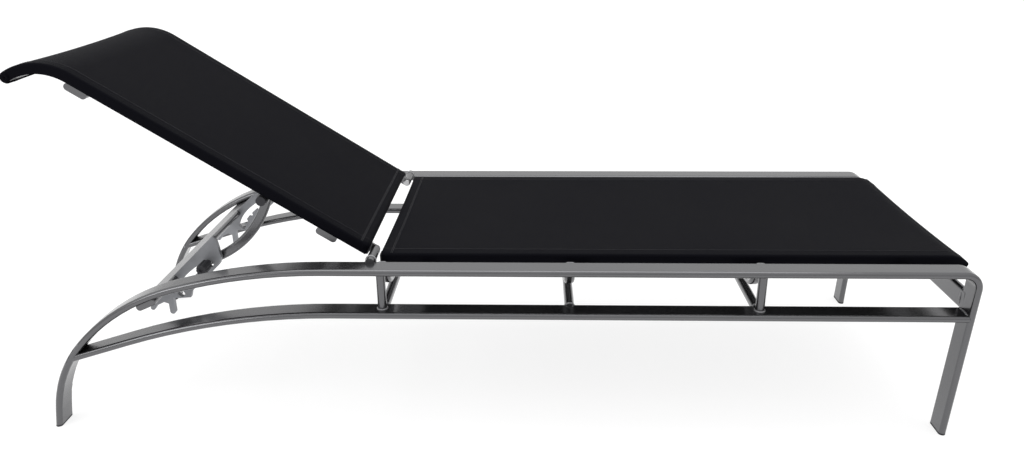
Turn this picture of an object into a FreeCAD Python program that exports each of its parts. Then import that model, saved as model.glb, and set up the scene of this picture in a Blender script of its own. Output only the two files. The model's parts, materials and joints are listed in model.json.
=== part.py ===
import FreeCAD, Part
import os
from math import sin, cos, tan, asin, atan2, hypot, radians, degrees

# Reclining sun lounger, millimetres and degrees.
# +X runs towards the foot end, +Y to the left of a person lying on it, +Z up.
# The origin is on the floor, under the middle of the base.
# The backrest is drawn raised to its top notch.

V = FreeCAD.Vector
ACROSS = V(0, 1, 0)

# ---- overall sizes -------------------------------------------------------
LENGTH = 1880.0            # base, outer head foot to outer foot-end corner
WIDTH = 660.0              # over both side frames
RAIL_TOP = 366.0           # top of the upper rails above the floor
RAIL_PITCH = 93.0          # upper rail centre to lower rail centre

# ---- flat-oval tube of the side frames -----------------------------------
OVAL_WIDTH = 50.0
OVAL_THICK = 14.0
OVAL_WALL = 2.5
GLIDE_HEIGHT = 4.0         # plastic glide that closes each leg
LEG_SPARE = 12.0           # extra leg below the floor, trimmed off flat

# ---- bends of the upper rail at its two ends ------------------------------
HEAD_LEG_SLOPE = 80.0
HEAD_BENDS = ((300.0, 33.0), (440.0, 32.0), (1150.0, 15.0))
FOOT_BEND_RADIUS = 29.0
FOOT_LEG_LEAN = 2.0
LOWER_BEND_RADIUS = 1397.0
LOWER_BEND_ANGLE = 17.5
LOWER_BEND_FROM_HEAD = 610.0
LOWER_END_FROM_HEAD = 64.0   # lower rail's end, inside the head leg

# ---- posts, cross tubes and braces of the base ----------------------------
POST_DIAMETER = 18.0
CROSS_TUBE_DIAMETER = 20.0
TUBE_WALL = 2.0
POST_FROM_HINGE = 22.0     # first post, ahead of the hinge
POST_FROM_FOOT = 416.0     # last post, back from the foot-end corner
BRACE_WIDTH = 22.0
BRACE_THICK = 14.0
BRACE_END_DROP = 45.0      # straight sloped end of a seat brace
BRACE_END_SLOPE = 55.0
BRACE_BEND_RADIUS = 50.0
BRACE_BOW_SLOPE = 8.0
FOOT_MEMBER_HEIGHT = 44.0
FOOT_MEMBER_DROP = 68.0    # below the upper rail centre

# ---- sling rails and slings ----------------------------------------------
SEAT_WIDTH = 516.0         # over the seat sling
BACK_WIDTH = 500.0         # over the back sling
SLING_THICK = 1.6
SLING_GAP = 0.4            # sling to rail
SLING_RAIL_WIDTH = 22.0
SEAT_RAIL_HEIGHT = 23.0
SEAT_RAIL_PROUD = 4.0      # seat rails above the upper rails
BACK_RAIL_HEIGHT = 19.0
SLING_RAIL_WALL = 2.0
SLING_RAIL_CORNER = 4.0
SEAT_START = 17.0          # seat rail end, ahead of the hinge axis
SEAT_FOOT_GAP = 8.0        # seat rail end, back from the foot-end corner
SEAT_FALL_RADIUS = 40.0    # downward curve of the seat rails at the foot end
SEAT_FALL_ANGLE = 48.0
SPREADER_WIDTH = 46.0
SPREADER_THICK = 15.0
SPREADER_INSET = 2.0       # spreader end, inside the sling rail's outer face
SPREADER_FLAT = 26.0
SPREADER_BEND_RADIUS = 60.0
SPREADER_BOW_SLOPE = 7.0
SPREADER_FROM_END = 47.0   # seat spreaders, in from the seat rail ends
BRACKET_WIDTH = 26.0
BRACKET_THICK = 5.0
BRACKET_UNDER_RAIL = 14.0  # bracket's reach under the upper rail
BRACKET_SIDE_GAP = 2.0     # bracket's upright to the sling's edge
BRACKETS_PER_SIDE = 4

# ---- backrest -------------------------------------------------------------
HINGE_FROM_HEAD = 690.0    # hinge axis from the outer head foot
HINGE_ABOVE_RAIL = 1.0     # hinge axis above the top of the upper rail
BACK_ANGLE = 32.7          # top notch, above flat
BACK_START = 14.0          # back rail end from the hinge axis
BACK_STRAIGHT = 663.0      # hinge axis to the start of the head curl
CURL_RADIUS = 114.0
CURL_ANGLE = 64.0
BACK_SPREADERS = (101.0, 643.0)
LUG_THICK = 6.0
LUG_LENGTH = 75.0
LUG_RADIUS = 9.0
HINGE_BARREL_DIAMETER = 19.0
HINGE_BOLT_DIAMETER = 8.0
RUNNING_FIT = 0.05         # radial clearance of a turning shaft
SIDE_PLAY = 0.5            # gap beside a turning face

# ---- prop that holds the backrest up ---------------------------------------
PROP_ALONG_BACK = 246.0    # prop pivot along the backrest from the hinge
PROP_BELOW_BACK = 29.0     # prop pivot below the back rail centre
PROP_LENGTH = 202.0
PROP_ANGLE = 79.7          # prop to backrest at the top notch
PROP_ANGLE_FLAT = 23.2     # prop to backrest with the backrest flat
PROP_BOW = 25.0
PROP_TUBE_DIAMETER = 16.0
PROP_ARM_WIDTH = 20.0
PROP_ARM_THICK = 10.0
PROP_ARM_INSIDE = 5.0      # arm to notched plate
PROP_PIN_DIAMETER = 10.0
PROP_LUG_RADIUS = 12.0
CAP_DIAMETER = 20.0
CAP_LENGTH = 11.0
KNOB_DIAMETER = 24.0
KNOB_LENGTH = 40.0
KNOB_GAP = 2.0

# ---- notched plates and the bar that carries them ---------------------------
PLATE_CENTRE = 201.0       # notched plate from the centre line
PLATE_THICK = 10.0
SLOT_CLEARANCE = 1.4       # radial, round the prop pin
NOTCH_DEPTH = 6.0
NOTCH_ANGLES = (0.0, 8.0, 16.5, 25.0, BACK_ANGLE)
RACK_BAR_WIDTH = 44.0
RACK_BAR_THICK = 14.0
RACK_BAR_SLOPE = 24.0      # slope of the upper rail above the bar
RACK_BAR_REACH = 12.0      # bar end, inside the frame's outer face
WELD_SINK = 0.6            # how far a welded part is let into its neighbour

# ---- worked out from the sizes above ----------------------------------------
HEAD_X = -LENGTH / 2
FOOT_X = LENGTH / 2
RAIL_Z = RAIL_TOP - OVAL_THICK / 2
LOWER_Z = RAIL_Z - RAIL_PITCH
FRAME_Y = (WIDTH - OVAL_WIDTH) / 2
FRAME_INSIDE = WIDTH / 2 - OVAL_WIDTH
HINGE_X = HEAD_X + HINGE_FROM_HEAD
SEAT_RAIL_OUT = SEAT_WIDTH / 2 - SLING_THICK - SLING_GAP
SEAT_RAIL_IN = SEAT_RAIL_OUT - SLING_RAIL_WIDTH
SEAT_RAIL_Z = RAIL_TOP + SEAT_RAIL_PROUD - SEAT_RAIL_HEIGHT / 2
BACK_RAIL_OUT = BACK_WIDTH / 2 - SLING_THICK - SLING_GAP
BACK_RAIL_IN = BACK_RAIL_OUT - SLING_RAIL_WIDTH
HINGE_Z = RAIL_TOP + HINGE_ABOVE_RAIL
SEAT_X0 = HINGE_X + SEAT_START
SEAT_X1 = FOOT_X - SEAT_FOOT_GAP - SEAT_FALL_RADIUS * sin(radians(SEAT_FALL_ANGLE))
POST_XS = (HINGE_X + POST_FROM_HINGE, FOOT_X - POST_FROM_FOOT)
STATIONS = {"head": POST_XS[0], "middle": sum(POST_XS) / 2, "foot": POST_XS[1]}
PROP_RATIO = -(PROP_ANGLE - PROP_ANGLE_FLAT) / BACK_ANGLE


class Trail:
    """A path in one plane, made of straight runs and tangent turns."""

    def __init__(self, origin, right, up, heading):
        self.right, self.up, self.heading = right, up, heading
        self.point = origin
        self.start = (origin, heading)
        self.edges = []

    def direction(self, angle):
        return self.right * cos(radians(angle)) + self.up * sin(radians(angle))

    def run(self, length):
        end = self.point + self.direction(self.heading) * length
        self.edges.append(Part.LineSegment(self.point, end).toShape())
        self.point = end
        return self

    def turn(self, radius, angle):
        """Turns left for a positive angle and right for a negative one."""
        side = 90 if angle > 0 else -90
        centre = self.point + self.direction(self.heading + side) * radius
        middle = centre + self.direction(self.heading + angle / 2 - side) * radius
        end = centre + self.direction(self.heading + angle - side) * radius
        self.edges.append(Part.Arc(self.point, middle, end).toShape())
        self.point = end
        self.heading += angle
        return self

    def sweep(self, outline):
        """Solid of an outline carried along the path; outline(origin, across, up)."""
        origin, heading = self.start
        across = self.right.cross(self.up)
        section = outline(origin, across, self.direction(heading + 90))
        pipe = Part.BRepOffsetAPI.MakePipeShell(Part.Wire(self.edges))
        pipe.setBiNormalMode(across)
        pipe.add(section, False, False)
        pipe.build()
        pipe.makeSolid()
        return outward(pipe.shape())


def outward(shape):
    if shape.Volume < 0:
        shape.reverse()
    return shape


def oval(width, thick):
    """Outline of a flat oval, its width across the path."""
    half, r = (width - thick) / 2, thick / 2

    def outline(o, across, up):
        a, b = o + across * half, o - across * half
        return Part.Wire([
            Part.LineSegment(b + up * r, a + up * r).toShape(),
            Part.Arc(a + up * r, a + across * r, a - up * r).toShape(),
            Part.LineSegment(a - up * r, b - up * r).toShape(),
            Part.Arc(b - up * r, b - across * r, b + up * r).toShape()])
    return outline


def oval_upright(height, thick):
    """Outline of a flat oval that stands on edge: its long side along up."""
    flat = oval(height, thick)
    return lambda o, across, up: flat(o, up, across * -1)


def box_outline(width, height, offset_across=0.0, offset_up=0.0, corner=0.0):
    """Outline of a rectangle, its corners rounded where corner is given."""

    def outline(o, across, up):
        c = o + across * offset_across + up * offset_up
        w, h = across * (width / 2), up * (height / 2)
        wire = Part.makePolygon([c - w - h, c + w - h, c + w + h, c - w + h, c - w - h])
        if not corner:
            return wire
        solid = Part.Face(wire).extrude(across.cross(up))
        sides = [e for e in solid.Edges if abs(e.tangentAt(e.FirstParameter).dot(across.cross(up))) > 0.9]
        rounded = solid.makeFillet(corner, sides)
        near = min(rounded.Faces, key=lambda f: f.CenterOfMass.distanceToPoint(c))
        return near.OuterWire
    return outline


def rod(radius, x, z, y0, y1):
    """Round bar along Y between two distances from the centre plane."""
    low, high = min(y0, y1), max(y0, y1)
    return Part.makeCylinder(radius, high - low, V(x, low, z), ACROSS)


def plate(points, y0, y1):
    """Flat plate in the XZ plane, between two values of Y."""
    low, high = min(y0, y1), max(y0, y1)
    ring = [V(x, low, z) for x, z in points]
    return Part.Face(Part.makePolygon(ring + ring[:1])).extrude(ACROSS * (high - low))


def capsule(radius, a, b, y0, y1):
    """Plate with round ends round two points (x, z)."""
    low, high = min(y0, y1), max(y0, y1)
    ends = [rod(radius, x, z, low, high) for x, z in (a, b)]
    length = hypot(b[0] - a[0], b[1] - a[1])
    if length < 0.01:
        return ends[0]
    n = ((a[1] - b[1]) / length * radius, (b[0] - a[0]) / length * radius)
    web = plate([(a[0] + n[0], a[1] + n[1]), (a[0] - n[0], a[1] - n[1]),
                 (b[0] - n[0], b[1] - n[1]), (b[0] + n[0], b[1] + n[1])], low, high)
    return web.fuse(ends)


def main_solid(shape):
    """The largest solid of a cut, without the offcuts beyond a neighbour."""
    return outward(max(shape.Solids, key=lambda s: abs(s.Volume)))


def mirrored(shape):
    return outward(shape.mirror(V(0, 0, 0), ACROSS))


def both_sides(nodes, name, shape):
    """Files a part made on the right side (-Y) and its mirror image on the left."""
    nodes["right_" + name] = shape
    nodes["left_" + name] = mirrored(shape)


def other_frame(shape):
    """The same part of the left side frame; each is its own mirror image."""
    return shape.translated(V(0, 2 * FRAME_Y, 0))


def both_frames(nodes, name, shape):
    nodes["right_" + name] = shape
    nodes["left_" + name] = other_frame(shape)


def below(z):
    """Everything under a level."""
    return Part.makeBox(2 * LENGTH, 2 * WIDTH, RAIL_TOP, V(-LENGTH, -WIDTH, z - RAIL_TOP))


# ---- side frames -------------------------------------------------------------
def head_rise(down_to=0.0):
    """Run and rise of the head bends from the leg up to a given slope."""
    along, rise, heading = 0.0, 0.0, HEAD_LEG_SLOPE
    for radius, angle in HEAD_BENDS:
        last = max(heading - angle, down_to)
        along += radius * (sin(radians(heading)) - sin(radians(last)))
        rise += radius * (cos(radians(last)) - cos(radians(heading)))
        heading -= angle
        if heading <= down_to:
            break
    return along, rise


def head_leg():
    """Length of the straight leg under the head bends, and its foot's X."""
    length = (RAIL_Z - head_rise()[1]) / sin(radians(HEAD_LEG_SLOPE))
    return length, HEAD_X + OVAL_THICK / 2 / sin(radians(HEAD_LEG_SLOPE))


def upper_path(y):
    leg, foot_x = head_leg()
    slope = radians(HEAD_LEG_SLOPE)
    start = V(foot_x - LEG_SPARE * cos(slope), y, -LEG_SPARE * sin(slope))
    trail = Trail(start, V(1, 0, 0), V(0, 0, 1), HEAD_LEG_SLOPE)
    trail.run(leg + LEG_SPARE)
    for radius, angle in HEAD_BENDS:
        trail.turn(radius, -angle)
    corner_x = FOOT_X - OVAL_THICK / 2 - FOOT_BEND_RADIUS
    trail.run(corner_x - trail.point.x)
    trail.turn(FOOT_BEND_RADIUS, -(90 + FOOT_LEG_LEAN))
    return trail.run(trail.point.z / cos(radians(FOOT_LEG_LEAN)) + LEG_SPARE)


def lower_path(y):
    start = V(FOOT_X - OVAL_THICK, y, LOWER_Z)
    trail = Trail(start, V(1, 0, 0), V(0, 0, 1), 180)
    trail.run(start.x - HEAD_X - LOWER_BEND_FROM_HEAD)
    trail.turn(LOWER_BEND_RADIUS, LOWER_BEND_ANGLE)
    left = (trail.point.x - HEAD_X - LOWER_END_FROM_HEAD) / cos(radians(LOWER_BEND_ANGLE))
    return trail.run(left)


def oval_tube(path):
    """Outer and inner solids of a flat-oval tube along a path."""
    inner = (OVAL_WIDTH - 2 * OVAL_WALL, OVAL_THICK - 2 * OVAL_WALL)
    return path.sweep(oval(OVAL_WIDTH, OVAL_THICK)), path.sweep(oval(*inner))


def side_frame(nodes):
    """Right and left bent tubes with their lower rails, posts and glides."""
    upper, upper_inside = oval_tube(upper_path(-FRAME_Y))
    lower, lower_inside = oval_tube(lower_path(-FRAME_Y))
    upper = main_solid(upper.cut(below(0)))
    lower = main_solid(lower.cut(upper))
    feet = below(GLIDE_HEIGHT)
    both_frames(nodes, "side_frame", main_solid(upper.cut(upper_inside).cut(feet)))
    both_frames(nodes, "lower_rail", main_solid(lower.cut(lower_inside)))
    glides = sorted(upper.common(feet).Solids, key=lambda glide: glide.CenterOfMass.x)
    both_frames(nodes, "head_glide", glides[0])
    both_frames(nodes, "foot_glide", glides[-1])
    for end, x in zip(("head", "foot"), POST_XS):
        foot = V(x, -FRAME_Y, LOWER_Z)
        post = Part.makeCylinder(POST_DIAMETER / 2, RAIL_PITCH, foot)
        bore = Part.makeCylinder(POST_DIAMETER / 2 - TUBE_WALL, RAIL_PITCH, foot)
        post = post.cut(bore).cut(upper.fuse(lower))
        both_frames(nodes, end + "_post", main_solid(post))
    return upper, lower


def cross_tubes(nodes, upper, lower):
    """Round tubes between the lower rails and bowed braces between the upper ones."""
    lowers = lower.fuse(other_frame(lower))
    uppers = upper.fuse(other_frame(upper))
    for where, x in STATIONS.items():
        reach = FRAME_INSIDE + OVAL_THICK
        tube = rod(CROSS_TUBE_DIAMETER / 2, x, LOWER_Z, -reach, reach)
        bore = rod(CROSS_TUBE_DIAMETER / 2 - TUBE_WALL, x, LOWER_Z, -reach, reach)
        nodes[where + "_cross_tube"] = main_solid(tube.cut(bore).cut(lowers))
        trail = Trail(V(x, -FRAME_INSIDE - 1, RAIL_Z), V(0, 1, 0), V(0, 0, 1), -BRACE_END_SLOPE)
        trail.run(BRACE_END_DROP)
        trail.turn(BRACE_BEND_RADIUS, BRACE_END_SLOPE - BRACE_BOW_SLOPE)
        bow = -trail.point.y / sin(radians(BRACE_BOW_SLOPE))
        trail.turn(bow, 2 * BRACE_BOW_SLOPE)
        trail.turn(BRACE_BEND_RADIUS, BRACE_END_SLOPE - BRACE_BOW_SLOPE)
        trail.run(BRACE_END_DROP)
        brace = trail.sweep(oval(BRACE_WIDTH, BRACE_THICK))
        nodes[where + "_seat_brace"] = main_solid(brace.cut(uppers))


def foot_member(nodes, upper):
    """Flat-oval member on edge between the two foot legs."""
    z = RAIL_Z - FOOT_MEMBER_DROP
    leg_x = FOOT_X - OVAL_THICK / 2 - (RAIL_Z - FOOT_BEND_RADIUS - z) * tan(radians(FOOT_LEG_LEAN))
    reach = FRAME_INSIDE + OVAL_THICK
    trail = Trail(V(leg_x, -reach, z), V(0, 1, 0), V(0, 0, 1), 0)
    trail.run(2 * reach)
    body = trail.sweep(oval_upright(FOOT_MEMBER_HEIGHT, OVAL_THICK))
    inner = (FOOT_MEMBER_HEIGHT - 2 * OVAL_WALL, OVAL_THICK - 2 * OVAL_WALL)
    body = body.cut(trail.sweep(oval_upright(*inner)))
    nodes["foot_cross_member"] = main_solid(body.cut(upper.fuse(other_frame(upper))))


# ---- seat ---------------------------------------------------------------------
def sling_rail(path, height):
    outer = box_outline(SLING_RAIL_WIDTH, height, corner=SLING_RAIL_CORNER)
    inner = box_outline(SLING_RAIL_WIDTH - 2 * SLING_RAIL_WALL, height - 2 * SLING_RAIL_WALL,
                        corner=SLING_RAIL_CORNER - SLING_RAIL_WALL)
    return path().sweep(outer).cut(path().sweep(inner))


def spreader(centre, up, rail_out, rail_height):
    """Bowed flat-oval bar across under two sling rails; centre is at rail level."""
    reach = rail_out - SPREADER_INSET
    drop = rail_height / 2 + SPREADER_THICK / 2
    trail = Trail(centre + V(0, -reach, 0) - up * drop, V(0, 1, 0), up, 0)
    trail.run(SPREADER_FLAT)
    trail.turn(SPREADER_BEND_RADIUS, -SPREADER_BOW_SLOPE)
    trail.turn(-trail.point.y / sin(radians(SPREADER_BOW_SLOPE)), 2 * SPREADER_BOW_SLOPE)
    trail.turn(SPREADER_BEND_RADIUS, -SPREADER_BOW_SLOPE)
    trail.run(SPREADER_FLAT)
    return trail.sweep(oval(SPREADER_WIDTH, SPREADER_THICK))


def sling_sides(make_path, width, rail_height):
    """The two edges of a sling, folded down over the outside of its rails."""
    height = rail_height + SLING_GAP + SLING_THICK
    lift = (SLING_GAP + SLING_THICK) / 2
    y = (width - SLING_THICK) / 2
    return [make_path(side * y).sweep(box_outline(SLING_THICK, height, 0, lift)) for side in (-1, 1)]


def bracket(x):
    """Cranked strip: under the sling rail, up beside it and out under the upper rail."""
    low = SEAT_RAIL_Z - SEAT_RAIL_HEIGHT / 2
    high = RAIL_TOP - OVAL_THICK
    crank = SEAT_WIDTH / 2 + BRACKET_SIDE_GAP
    outer, t = FRAME_INSIDE + BRACKET_UNDER_RAIL, BRACKET_THICK
    outline = [(SEAT_RAIL_IN, low - t), (crank + t, low - t), (crank + t, high - t), (outer, high - t),
               (outer, high), (crank, high), (crank, low), (SEAT_RAIL_IN, low)]
    ring = [V(x - BRACKET_WIDTH / 2, -y, z) for y, z in outline]
    return outward(Part.Face(Part.makePolygon(ring + ring[:1])).extrude(V(BRACKET_WIDTH, 0, 0)))


def seat(nodes):
    length = SEAT_X1 - SEAT_X0

    def rail_path(y=-(SEAT_RAIL_OUT + SEAT_RAIL_IN) / 2, above=0.0):
        trail = Trail(V(SEAT_X0, y, SEAT_RAIL_Z + above), V(1, 0, 0), V(0, 0, 1), 0)
        return trail.run(length).turn(SEAT_FALL_RADIUS + above, -SEAT_FALL_ANGLE)

    both_sides(nodes, "seat_rail", sling_rail(rail_path, SEAT_RAIL_HEIGHT))
    for where, x in (("head", SEAT_X0 + SPREADER_FROM_END), ("foot", SEAT_X1 - SPREADER_FROM_END)):
        nodes[where + "_seat_spreader"] = spreader(V(x, 0, SEAT_RAIL_Z), V(0, 0, 1),
                                                   SEAT_RAIL_OUT, SEAT_RAIL_HEIGHT)
    lift = SEAT_RAIL_HEIGHT / 2 + SLING_GAP + SLING_THICK / 2
    top = rail_path(0, lift).sweep(box_outline(SEAT_WIDTH, SLING_THICK))
    nodes["seat_sling"] = top.multiFuse(sling_sides(rail_path, SEAT_WIDTH, SEAT_RAIL_HEIGHT)).removeSplitter()
    first = SEAT_X0 + 2 * SPREADER_FROM_END
    step = (length - 4 * SPREADER_FROM_END) / (BRACKETS_PER_SIDE - 1)
    for i in range(BRACKETS_PER_SIDE):
        both_sides(nodes, "seat_bracket_%d" % (i + 1), bracket(first + i * step))


# ---- backrest -------------------------------------------------------------------
def back_axes():
    """Unit vectors along the raised backrest and square to it."""
    a = radians(BACK_ANGLE)
    return V(-cos(a), 0, sin(a)), V(sin(a), 0, cos(a))


def on_back(along, above, y=0.0):
    d, n = back_axes()
    return V(HINGE_X, y, HINGE_Z) + d * along + n * above


def back_path(y=-(BACK_RAIL_OUT + BACK_RAIL_IN) / 2, start=BACK_START, above=0.0):
    """Centre line of a back rail, or a line at a constant distance above it."""
    d, n = back_axes()
    trail = Trail(on_back(start, above, y), d, n, 0)
    trail.run(BACK_STRAIGHT - start)
    return trail.turn(CURL_RADIUS + above, -CURL_ANGLE)


def lug(along, above, radius, hole):
    """Flat lug inside a back rail, with a bored end below or past the rail."""
    y0, y1 = -BACK_RAIL_IN, -BACK_RAIL_IN + LUG_THICK
    end = on_back(along, above)
    root = on_back(max(along, 0.0) + (LUG_LENGTH - LUG_RADIUS if above == 0 else 0.0), 0.0)
    body = capsule(radius, (root.x, root.z), (end.x, end.z), y0, y1)
    if above:
        near, far = on_back(along - LUG_LENGTH / 2, 0.0), on_back(along + LUG_LENGTH / 2, 0.0)
        body = body.fuse(capsule(LUG_RADIUS, (near.x, near.z), (far.x, far.z), y0, y1))
        body = body.cut(capsule(radius * 2, (near.x, near.z), (far.x, far.z), y0, y1)
                        .cut(capsule(LUG_RADIUS, (near.x, near.z), (far.x, far.z), y0, y1))
                        .cut(plate_below(y0, y1)))
    return main_solid(body.cut(rod(hole, end.x, end.z, y0 - 1, y1 + 1)).removeSplitter())


def plate_below(y0, y1):
    """Everything under the back rail's centre line."""
    a, b = on_back(0, 0), on_back(BACK_STRAIGHT, 0)
    c, d = on_back(BACK_STRAIGHT, -200), on_back(0, -200)
    return plate([(p.x, p.z) for p in (a, b, c, d)], y0, y1)


def backrest(nodes):
    """Curled sling rails, head bar, spreaders, lugs and sling."""
    tip = back_path(0).point
    n = back_axes()[1]
    radius = BACK_RAIL_HEIGHT / 2
    bar = rod(radius, tip.x, tip.z, -BACK_RAIL_OUT, BACK_RAIL_OUT)
    nodes["back_head_bar"] = bar.cut(rod(radius - TUBE_WALL, tip.x, tip.z, -BACK_RAIL_OUT, BACK_RAIL_OUT))
    both_sides(nodes, "back_rail", main_solid(sling_rail(back_path, BACK_RAIL_HEIGHT).cut(bar)))
    for where, along in zip(("lower", "upper"), BACK_SPREADERS):
        nodes[where + "_back_spreader"] = spreader(on_back(along, 0), n, BACK_RAIL_OUT, BACK_RAIL_HEIGHT)
    lift = BACK_RAIL_HEIGHT / 2 + SLING_GAP + SLING_THICK / 2
    top = back_path(0, above=lift).turn(lift, -180)
    top = top.sweep(box_outline(BACK_WIDTH, SLING_THICK))
    sides = sling_sides(back_path, BACK_WIDTH, BACK_RAIL_HEIGHT)
    nodes["back_sling"] = outward(top.multiFuse(sides).removeSplitter())
    both_sides(nodes, "hinge_lug", lug(0.0, 0.0, LUG_RADIUS, HINGE_BOLT_DIAMETER / 2 + RUNNING_FIT))
    both_sides(nodes, "prop_lug", lug(PROP_ALONG_BACK, -PROP_BELOW_BACK, PROP_LUG_RADIUS,
                                      PROP_PIN_DIAMETER / 2 + RUNNING_FIT))


def hinges(nodes, upper):
    """Barrels welded to the upper rails and the bolts that the lugs turn on."""
    start = -BACK_RAIL_IN - SIDE_PLAY
    barrel = rod(HINGE_BARREL_DIAMETER / 2, HINGE_X, HINGE_Z, -FRAME_INSIDE - OVAL_THICK, start)
    bolt = rod(HINGE_BOLT_DIAMETER / 2, HINGE_X, HINGE_Z, -FRAME_INSIDE + OVAL_THICK,
               start + 2 * SIDE_PLAY + LUG_THICK)
    head_y = start + 2 * SIDE_PLAY + LUG_THICK
    head = rod(HINGE_BOLT_DIAMETER, HINGE_X, HINGE_Z, head_y, head_y + HINGE_BOLT_DIAMETER * 0.6)
    rim = [e for e in head.Edges if abs(e.CenterOfMass.y - head_y) > 1 and e.Closed]
    bolt = bolt.fuse(head.makeFillet(HINGE_BOLT_DIAMETER * 0.25, rim)).removeSplitter()
    both_sides(nodes, "hinge_barrel", main_solid(barrel.cut(upper).cut(bolt)))
    both_sides(nodes, "hinge_bolt", bolt)


# ---- prop -----------------------------------------------------------------------
def prop_pivot(lowered=0.0):
    """Prop pivot (x, z) with the backrest lowered by an angle from its top notch."""
    a = radians(BACK_ANGLE - lowered)
    x = HINGE_X - PROP_ALONG_BACK * cos(a) - PROP_BELOW_BACK * sin(a)
    return x, HINGE_Z + PROP_ALONG_BACK * sin(a) - PROP_BELOW_BACK * cos(a)


def prop_pin(lowered=0.0):
    """Prop pin (x, z) with the backrest lowered; the prop follows by PROP_RATIO."""
    angle = 180 - (BACK_ANGLE - lowered) + PROP_ANGLE + PROP_RATIO * lowered
    x, z = prop_pivot(lowered)
    return x + PROP_LENGTH * cos(radians(angle)), z + PROP_LENGTH * sin(radians(angle))


def prop_ys():
    """Inner and outer faces of the right prop arm, as distances from the centre."""
    outer = PLATE_CENTRE - PLATE_THICK / 2 - PROP_ARM_INSIDE
    return outer - PROP_ARM_THICK, outer


def prop(nodes):
    """Pivot tube with end pins, bowed arms, pins and black knobs."""
    (px, pz), (qx, qz) = prop_pivot(), prop_pin()
    inner, outer = prop_ys()
    face = BACK_RAIL_IN - LUG_THICK - SIDE_PLAY
    pin_r = PROP_PIN_DIAMETER / 2
    tube = rod(PROP_TUBE_DIAMETER / 2, px, pz, -face, face)
    nodes["prop_tube"] = tube.cut(rod(pin_r, px, pz, -face, face))
    reach = BACK_RAIL_IN + SIDE_PLAY + CAP_LENGTH / 2
    nodes["prop_shaft"] = rod(pin_r, px, pz, -reach, reach)
    start = -BACK_RAIL_IN - SIDE_PLAY
    cap = rod(CAP_DIAMETER / 2, px, pz, start - CAP_LENGTH, start)
    both_sides(nodes, "prop_shaft_cap", cap.cut(nodes["prop_shaft"]))
    chord = hypot(qx - px, qz - pz)
    radius = (chord ** 2 / 4 + PROP_BOW ** 2) / (2 * PROP_BOW)
    half = degrees(asin(chord / 2 / radius))
    heading = degrees(atan2(qz - pz, qx - px))
    middle = -(inner + outer) / 2
    trail = Trail(V(px, middle, pz), V(1, 0, 0), V(0, 0, 1), heading + half)
    arm = trail.turn(radius, -2 * half).sweep(oval_upright(PROP_ARM_WIDTH, PROP_ARM_THICK))
    boss = rod(PROP_ARM_WIDTH / 2, qx, qz, -outer, -inner)
    arm = arm.fuse(boss).cut(tube).cut(rod(pin_r, qx, qz, -outer, -inner))
    both_sides(nodes, "prop_arm", main_solid(arm))
    knob_in = PLATE_CENTRE + PLATE_THICK / 2 + KNOB_GAP
    both_sides(nodes, "prop_pin", rod(pin_r, qx, qz, -inner, -knob_in - KNOB_LENGTH * 0.8))
    knob = rod(KNOB_DIAMETER / 2, qx, qz, -knob_in, -knob_in - KNOB_LENGTH)
    rims = [e for e in knob.Edges if e.Closed]
    knob = knob.makeFillet(KNOB_LENGTH * 0.12, rims)
    both_sides(nodes, "prop_knob", main_solid(knob.cut(nodes["right_prop_pin"])))


# ---- notched plates ---------------------------------------------------------------
def rack_bar_centre():
    """Centre of the bar that is welded under the upper rails."""
    leg, foot_x = head_leg()
    along, rise = head_rise(RACK_BAR_SLOPE)
    slope = radians(RACK_BAR_SLOPE)
    drop = OVAL_THICK / 2 + RACK_BAR_THICK / 2 - WELD_SINK
    x = foot_x + leg * cos(radians(HEAD_LEG_SLOPE)) + along + drop * sin(slope)
    z = leg * sin(radians(HEAD_LEG_SLOPE)) + rise - drop * cos(slope)
    return x, z


def rack_bar(upper):
    x, z = rack_bar_centre()
    slope = radians(RACK_BAR_SLOPE)
    reach = WIDTH / 2 - RACK_BAR_REACH
    up = V(-sin(slope), 0, cos(slope))
    trail = Trail(V(x, -reach, z), V(0, 1, 0), up, 0).run(2 * reach)
    solid = trail.sweep(oval(RACK_BAR_WIDTH, RACK_BAR_THICK))
    return main_solid(solid.cut(upper.fuse(other_frame(upper))))


def slot_cutter(y0, y1):
    """Path of the prop pin, with a notch to the lower right at each position."""
    radius = PROP_PIN_DIAMETER / 2 + SLOT_CLEARANCE
    steps = 8
    stops = [prop_pin(BACK_ANGLE * i / steps) for i in range(steps + 1)]
    parts = [capsule(radius, a, b, y0, y1) for a, b in zip(stops, stops[1:])]
    (x0, z0), (x1, z1) = stops[0], stops[-1]
    length = hypot(x1 - x0, z1 - z0)
    side = (-(z1 - z0) / length, (x1 - x0) / length)
    for angle in NOTCH_ANGLES:
        x, z = prop_pin(angle)
        foot = (x + side[0] * NOTCH_DEPTH, z + side[1] * NOTCH_DEPTH)
        parts.append(capsule(radius, (x, z), foot, y0, y1))
    return parts[0].multiFuse(parts[1:])


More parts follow.
